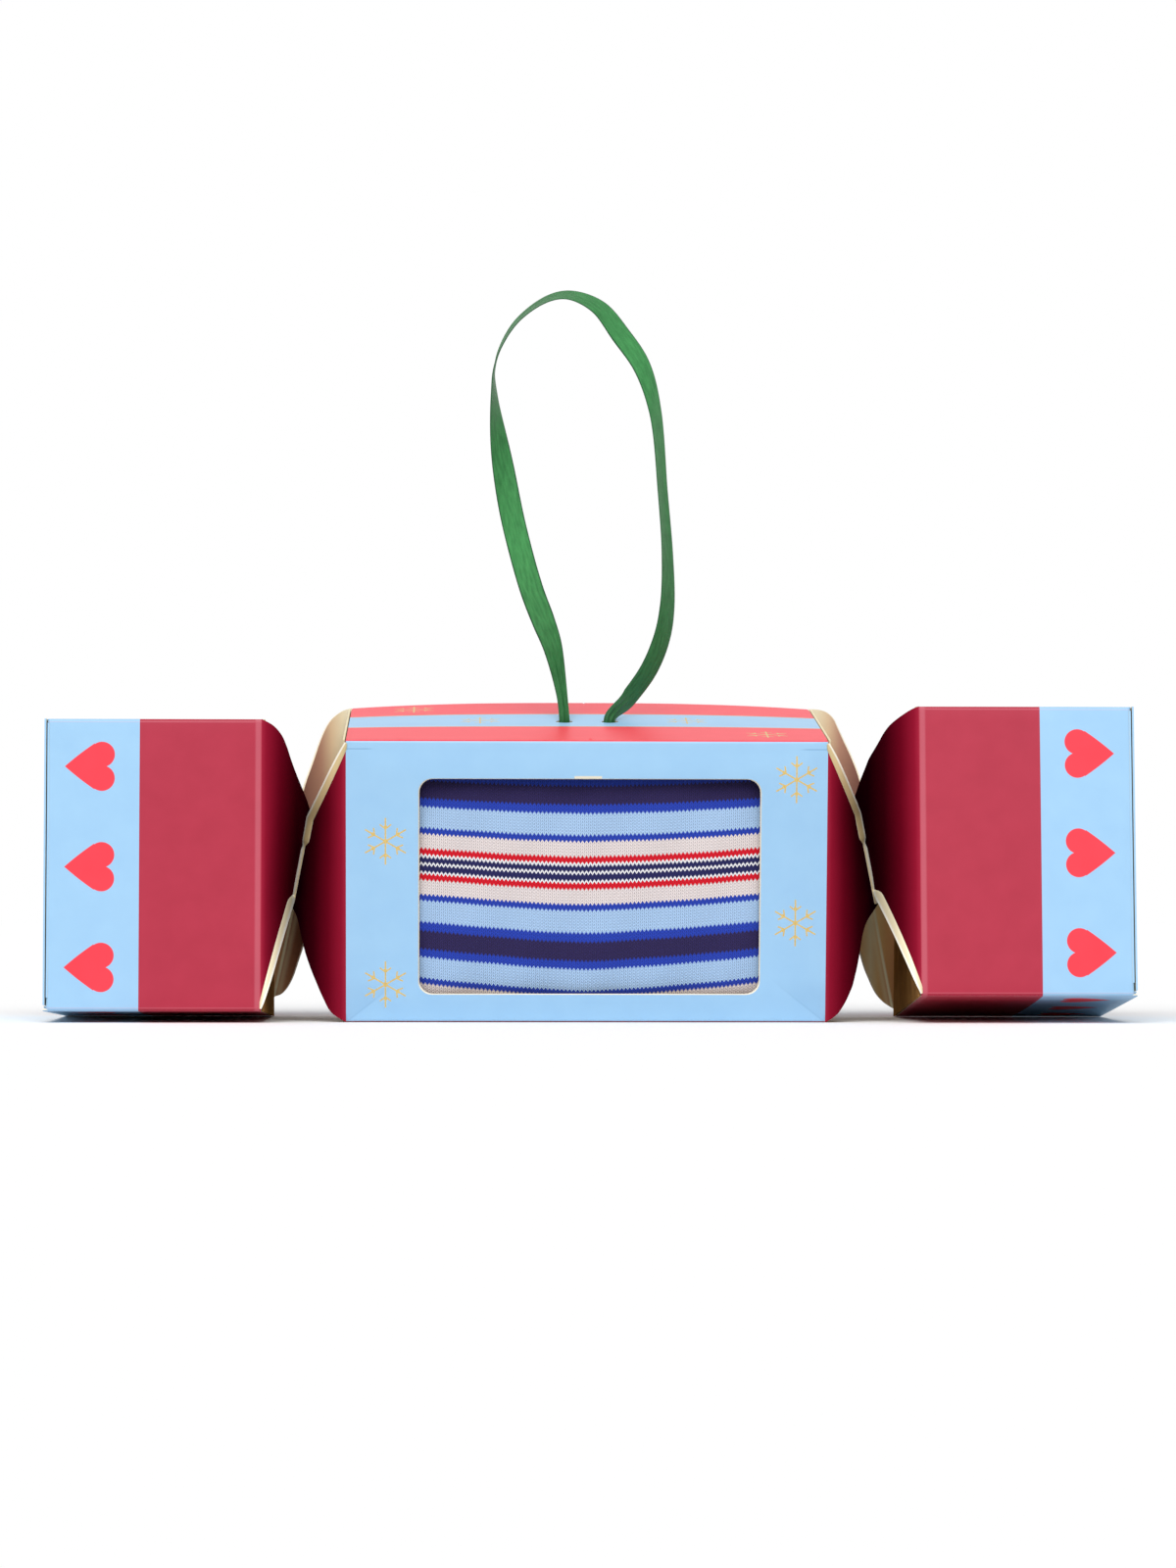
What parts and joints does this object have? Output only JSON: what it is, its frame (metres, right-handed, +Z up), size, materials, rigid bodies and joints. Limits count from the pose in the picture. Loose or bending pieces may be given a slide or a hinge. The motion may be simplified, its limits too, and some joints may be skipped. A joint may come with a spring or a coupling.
{
  "type": "christmas cracker gift box",
  "caption": "Folded card gift carton in cracker form, with twisted necks, tuck-in end lids, a window over folded socks and a ribbon hanging loop.",
  "frame": {"origin": "on the ground under the middle of the carton's box, ribbon left out", "axes": "+X along the length of the cracker, +Z up, the window looks along -Y"},
  "size_m": [0.2874, 0.0854, 0.1975],
  "materials": {
    "light_blue_card": "light blue printed card with a satin varnish",
    "burgundy_card": "burgundy printed card with a matt varnish",
    "red_card": "coral red printed card with light blue band and gold foil lines",
    "gold_card": "pale gold metallised face of the card",
    "knit_sock": "fine plain knit in blue, navy, red and off-white stripes",
    "satin_ribbon": "green satin ribbon with woven edges"
  },
  "bodies": {
    "root": {"front_panel": "light_blue_card", "top_panel": "red_card", "back_panel": "light_blue_card", "bottom_panel": "burgundy_card", "body_glue_flap": "gold_card", "left_body_petal_front": "burgundy_card", "left_body_flap_top": "burgundy_card", "left_body_petal_back": "burgundy_card", "left_body_flap_bottom": "burgundy_card", "right_body_petal_front": "burgundy_card", "right_body_flap_top": "burgundy_card", "right_body_petal_back": "burgundy_card", "right_body_flap_bottom": "burgundy_card", "sock_front": "knit_sock", "sock_back": "knit_sock", "ribbon_loop": "satin_ribbon", "ribbon_knot": "satin_ribbon"},
    "left_end": {"left_front_panel": "burgundy_card", "left_back_panel": "burgundy_card", "left_top_panel": "burgundy_card", "left_bottom_panel": "burgundy_card", "left_glue_flap": "gold_card", "left_petal_front": "burgundy_card", "left_flap_top": "burgundy_card", "left_petal_back": "burgundy_card", "left_flap_bottom": "burgundy_card"},
    "left_cover": {"left_lid": "light_blue_card", "left_tuck_tab": "light_blue_card"},
    "left_dust_front": {"left_dust_flap_front": "light_blue_card"},
    "left_dust_back": {"left_dust_flap_back": "light_blue_card"},
    "right_end": {"right_front_panel": "burgundy_card", "right_back_panel": "burgundy_card", "right_top_panel": "burgundy_card", "right_bottom_panel": "burgundy_card", "right_glue_flap": "gold_card", "right_petal_front": "burgundy_card", "right_flap_top": "burgundy_card", "right_petal_back": "burgundy_card", "right_flap_bottom": "burgundy_card"},
    "right_cover": {"right_lid": "light_blue_card", "right_tuck_tab": "light_blue_card"},
    "right_dust_front": {"right_dust_flap_front": "light_blue_card"},
    "right_dust_back": {"right_dust_flap_back": "light_blue_card"}
  },
  "joints": [
    {"name": "left_neck_twist", "type": "hinge", "parent": "root", "child": "left_end", "pos_m": [-0.0756, 0, 0.03991], "axis": [1, 0, 0], "range_deg": [-8, 8], "stiffness_Nm_per_rad": 0.6},
    {"name": "right_neck_twist", "type": "hinge", "parent": "root", "child": "right_end", "pos_m": [0.0709, 0, 0.04184], "axis": [1, 0, 0], "range_deg": [-8, 8], "stiffness_Nm_per_rad": 0.6},
    {"name": "left_lid_hinge", "type": "hinge", "parent": "left_end", "child": "left_cover", "pos_m": [-0.14345, 0.00153, 0.07803], "axis": [0, 0.9992, -0.0401], "range_deg": [0, 150]},
    {"name": "right_lid_hinge", "type": "hinge", "parent": "right_end", "child": "right_cover", "pos_m": [0.14345, 0.00359, 0.07982], "axis": [0, -0.9956, 0.0941], "range_deg": [0, 150]},
    {"name": "left_dust_front_hinge", "type": "hinge", "parent": "left_end", "child": "left_dust_front", "pos_m": [-0.14265, -0.03812, 0.04144], "axis": [0, 0.0401, 0.9992], "range_deg": [0, 75]},
    {"name": "left_dust_back_hinge", "type": "hinge", "parent": "left_end", "child": "left_dust_back", "pos_m": [-0.14265, 0.03812, 0.03838], "axis": [0, -0.0401, -0.9992], "range_deg": [0, 75]},
    {"name": "right_dust_front_hinge", "type": "hinge", "parent": "right_end", "child": "right_dust_front", "pos_m": [0.14265, -0.03798, 0.04543], "axis": [0, -0.0941, -0.9956], "range_deg": [0, 75]},
    {"name": "right_dust_back_hinge", "type": "hinge", "parent": "right_end", "child": "right_dust_back", "pos_m": [0.14265, 0.03798, 0.03825], "axis": [0, 0.0941, 0.9956], "range_deg": [0, 75]}
  ],
  "couplings": [
    {"joint": "left_dust_front_hinge", "follows": "left_lid_hinge", "ratio": 0.5},
    {"joint": "left_dust_back_hinge", "follows": "left_lid_hinge", "ratio": 0.5},
    {"joint": "right_dust_front_hinge", "follows": "right_lid_hinge", "ratio": 0.5},
    {"joint": "right_dust_back_hinge", "follows": "right_lid_hinge", "ratio": 0.5}
  ]
}
